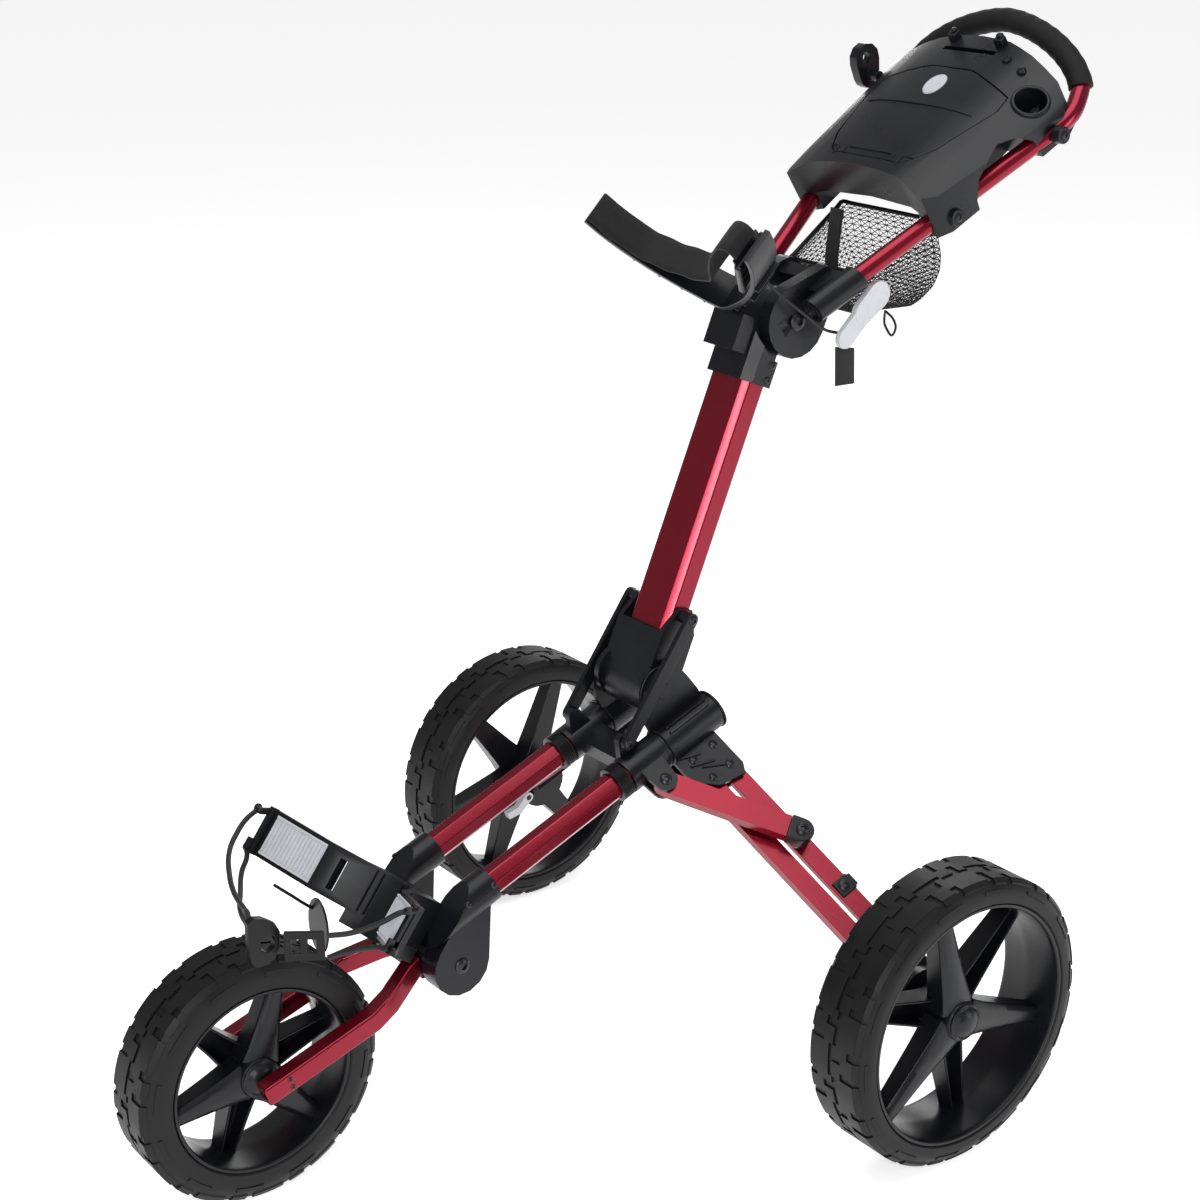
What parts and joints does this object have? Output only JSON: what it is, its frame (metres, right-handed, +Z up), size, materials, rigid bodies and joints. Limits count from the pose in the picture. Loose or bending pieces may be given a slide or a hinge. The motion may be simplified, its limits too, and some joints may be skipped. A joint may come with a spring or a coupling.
{
  "type": "golf push trolley",
  "caption": "Three-wheeled folding golf push trolley with a mast, bag cradles, a handle console, a net bag and a folding undercarriage.",
  "frame": {"origin": "on the ground, under the middle of the trolley's length and width", "axes": "+Z up, -Y towards the front wheel, +X towards the trolley's left side"},
  "size_m": [0.769, 1.0712, 1.0228],
  "materials": {
    "red_aluminium": "glossy dark red anodised",
    "black_plastic": "satin moulded black",
    "grey_plastic": "satin light grey",
    "tyre_black": "matte solid rubber",
    "grip_foam": "matte ribbed foam",
    "cord_black": "braided elastic",
    "steel": "zinc plated",
    "webbing": "woven black webbing",
    "net": "black knotted net"
  },
  "bodies": {
    "frame": {"lower_tube_left": "red_aluminium", "lower_tube_right": "red_aluminium", "front_sleeve_left": "black_plastic", "front_sleeve_right": "black_plastic", "leg_bracket_left": "black_plastic", "leg_bracket_right": "black_plastic", "mast_pivot_pin": "steel", "fork_pivot_pin": "steel", "lower_cradle": "black_plastic", "cradle_pad_left": "grey_plastic", "cradle_pad_right": "grey_plastic", "tag_plate": "black_plastic", "bungee_cord_front": "cord_black", "bungee_cord_upper": "cord_black", "bungee_cord_lower": "cord_black", "bungee_hook": "cord_black", "bungee_links": "cord_black"},
    "slider": {"slider": "black_plastic"},
    "mast": {"mast_foot": "black_plastic", "mast_tube": "red_aluminium", "mast_head": "black_plastic", "upper_cradle": "black_plastic", "cradle_strap": "webbing", "strap_buckle": "black_plastic", "elastic_loop": "cord_black", "elastic_tab": "cord_black"},
    "fork": {"fork_crown": "black_plastic", "fork_arm_left": "red_aluminium", "fork_arm_right": "red_aluminium", "front_axle": "steel"},
    "front_wheel": {"front_tyre": "tyre_black", "front_rim": "black_plastic", "front_hub_cap": "black_plastic"},
    "handle": {"handle_hinge": "black_plastic", "handle_tube": "red_aluminium", "handle_grip": "grip_foam", "console_shell": "black_plastic", "net_bag": "net"},
    "release_lever": {"release_lever": "grey_plastic"},
    "console_lid": {"console_lid": "black_plastic"},
    "umbrella_mount": {"umbrella_mount": "black_plastic"},
    "brake_pedal": {"brake_pedal": "grey_plastic"},
    "link_rod_left": {"link_rod_left": "black_plastic"},
    "lower_rail_left": {"leg_rail_lower_left": "red_aluminium"},
    "upper_rail_left": {"leg_rail_upper_left": "red_aluminium"},
    "hub_carrier_left": {"hub_carrier_left": "black_plastic"},
    "strut_left": {"leg_strut_left": "red_aluminium", "strut_cap_left": "black_plastic"},
    "rear_wheel_left": {"rear_tyre_left": "tyre_black", "rear_rim_left": "black_plastic", "rear_hub_cap_left": "black_plastic"},
    "link_rod_right": {"link_rod_right": "black_plastic"},
    "lower_rail_right": {"leg_rail_lower_right": "red_aluminium"},
    "upper_rail_right": {"leg_rail_upper_right": "red_aluminium"},
    "hub_carrier_right": {"hub_carrier_right": "black_plastic"},
    "strut_right": {"leg_strut_right": "red_aluminium", "strut_cap_right": "black_plastic"},
    "rear_wheel_right": {"rear_tyre_right": "tyre_black", "rear_rim_right": "black_plastic", "rear_hub_cap_right": "black_plastic"}
  },
  "joints": [
    {"name": "mast_fold", "type": "hinge", "parent": "frame", "child": "mast", "pos_m": [0, 0.0431, 0.399], "axis": [1, 0, 0], "range_deg": [0, 108]},
    {"name": "slider_travel", "type": "slide", "parent": "frame", "child": "slider", "axis": [0, -0.9272, -0.3746], "range_m": [0, 0.134]},
    {"name": "link_rod_left_swing", "type": "hinge", "parent": "mast", "child": "link_rod_left", "pos_m": [0.048, 0.07288, 0.46881], "axis": [1, 0, 0], "range_deg": [-120, 0]},
    {"name": "leg_left_fold", "type": "hinge", "parent": "frame", "child": "lower_rail_left", "pos_m": [0.06253, 0.0634, 0.3218], "axis": [0.6074, -0.2976, 0.7366], "range_deg": [-46.5, 0]},
    {"name": "upper_rail_left_fold", "type": "hinge", "parent": "frame", "child": "upper_rail_left", "pos_m": [0.06253, 0.08843, 0.33192], "axis": [0.6074, -0.2976, 0.7366], "range_deg": [-46.5, 0]},
    {"name": "hub_carrier_left_swing", "type": "hinge", "parent": "lower_rail_left", "child": "hub_carrier_left", "pos_m": [0.29291, 0.12938, 0.15849], "axis": [0.6074, -0.2976, 0.7366], "range_deg": [0, 46.5]},
    {"name": "strut_left_swing", "type": "hinge", "parent": "slider", "child": "strut_left", "pos_m": [0.07536, 0.01847, 0.3182], "axis": [0.6074, -0.2976, 0.7366], "range_deg": [0, 24]},
    {"name": "rear_wheel_left_spin", "type": "hinge", "parent": "hub_carrier_left", "child": "rear_wheel_left", "pos_m": [0.3465, 0.1441, 0.146], "axis": [1, 0, 0], "continuous": true},
    {"name": "link_rod_right_swing", "type": "hinge", "parent": "mast", "child": "link_rod_right", "pos_m": [-0.048, 0.07288, 0.46881], "axis": [1, 0, 0], "range_deg": [-120, 0]},
    {"name": "leg_right_fold", "type": "hinge", "parent": "frame", "child": "lower_rail_right", "pos_m": [-0.06253, 0.0634, 0.3218], "axis": [-0.6074, -0.2976, 0.7366], "range_deg": [0, 46.5]},
    {"name": "upper_rail_right_fold", "type": "hinge", "parent": "frame", "child": "upper_rail_right", "pos_m": [-0.06253, 0.08843, 0.33192], "axis": [-0.6074, -0.2976, 0.7366], "range_deg": [0, 46.5]},
    {"name": "hub_carrier_right_swing", "type": "hinge", "parent": "lower_rail_right", "child": "hub_carrier_right", "pos_m": [-0.29291, 0.12938, 0.15849], "axis": [-0.6074, -0.2976, 0.7366], "range_deg": [-46.5, 0]},
    {"name": "strut_right_swing", "type": "hinge", "parent": "slider", "child": "strut_right", "pos_m": [-0.07536, 0.01847, 0.3182], "axis": [-0.6074, -0.2976, 0.7366], "range_deg": [-24, 0]},
    {"name": "rear_wheel_right_spin", "type": "hinge", "parent": "hub_carrier_right", "child": "rear_wheel_right", "pos_m": [-0.3465, 0.1441, 0.146], "axis": [1, 0, 0], "continuous": true},
    {"name": "fork_fold", "type": "hinge", "parent": "frame", "child": "fork", "pos_m": [0, -0.2129, 0.188], "axis": [1, 0, 0], "range_deg": [0, 143]},
    {"name": "front_wheel_spin", "type": "hinge", "parent": "fork", "child": "front_wheel", "pos_m": [0, -0.4129, 0.1227], "axis": [1, 0, 0], "continuous": true},
    {"name": "handle_fold", "type": "hinge", "parent": "mast", "child": "handle", "pos_m": [0, 0.2121, 0.745], "axis": [1, 0, 0], "range_deg": [-118, 0], "deforming": ["net_bag", "elastic_loop", "elastic_tab"]},
    {"name": "release_lever_swing", "type": "hinge", "parent": "handle", "child": "release_lever", "pos_m": [0.07, 0.24256, 0.73159], "axis": [0, -0.5519, 0.8339], "range_deg": [-100, 0]},
    {"name": "console_lid_open", "type": "hinge", "parent": "handle", "child": "console_lid", "pos_m": [0, 0.32658, 0.89092], "axis": [1, 0, 0], "range_deg": [0, 100]},
    {"name": "umbrella_mount_turn", "type": "hinge", "parent": "handle", "child": "umbrella_mount", "pos_m": [-0.146, 0.47181, 0.94508], "axis": [1, 0, 0], "range_deg": [-90, 90]},
    {"name": "brake_pedal_press", "type": "hinge", "parent": "hub_carrier_right", "child": "brake_pedal", "pos_m": [-0.302, 0.1191, 0.136], "axis": [1, 0, 0], "range_deg": [0, 25]}
  ],
  "couplings": [
    {"joint": "slider_travel", "follows": "mast_fold", "m_per_rad": 0.06938},
    {"joint": "link_rod_left_swing", "follows": "mast_fold", "ratio": -1.0873},
    {"joint": "leg_left_fold", "follows": "mast_fold", "ratio": -0.41818},
    {"joint": "upper_rail_left_fold", "follows": "mast_fold", "ratio": -0.41818},
    {"joint": "hub_carrier_left_swing", "follows": "mast_fold", "ratio": 0.41818},
    {"joint": "strut_left_swing", "follows": "mast_fold", "ratio": 0.21455},
    {"joint": "link_rod_right_swing", "follows": "mast_fold", "ratio": -1.0873},
    {"joint": "leg_right_fold", "follows": "mast_fold", "ratio": 0.41818},
    {"joint": "upper_rail_right_fold", "follows": "mast_fold", "ratio": 0.41818},
    {"joint": "hub_carrier_right_swing", "follows": "mast_fold", "ratio": -0.41818},
    {"joint": "strut_right_swing", "follows": "mast_fold", "ratio": -0.21455}
  ]
}
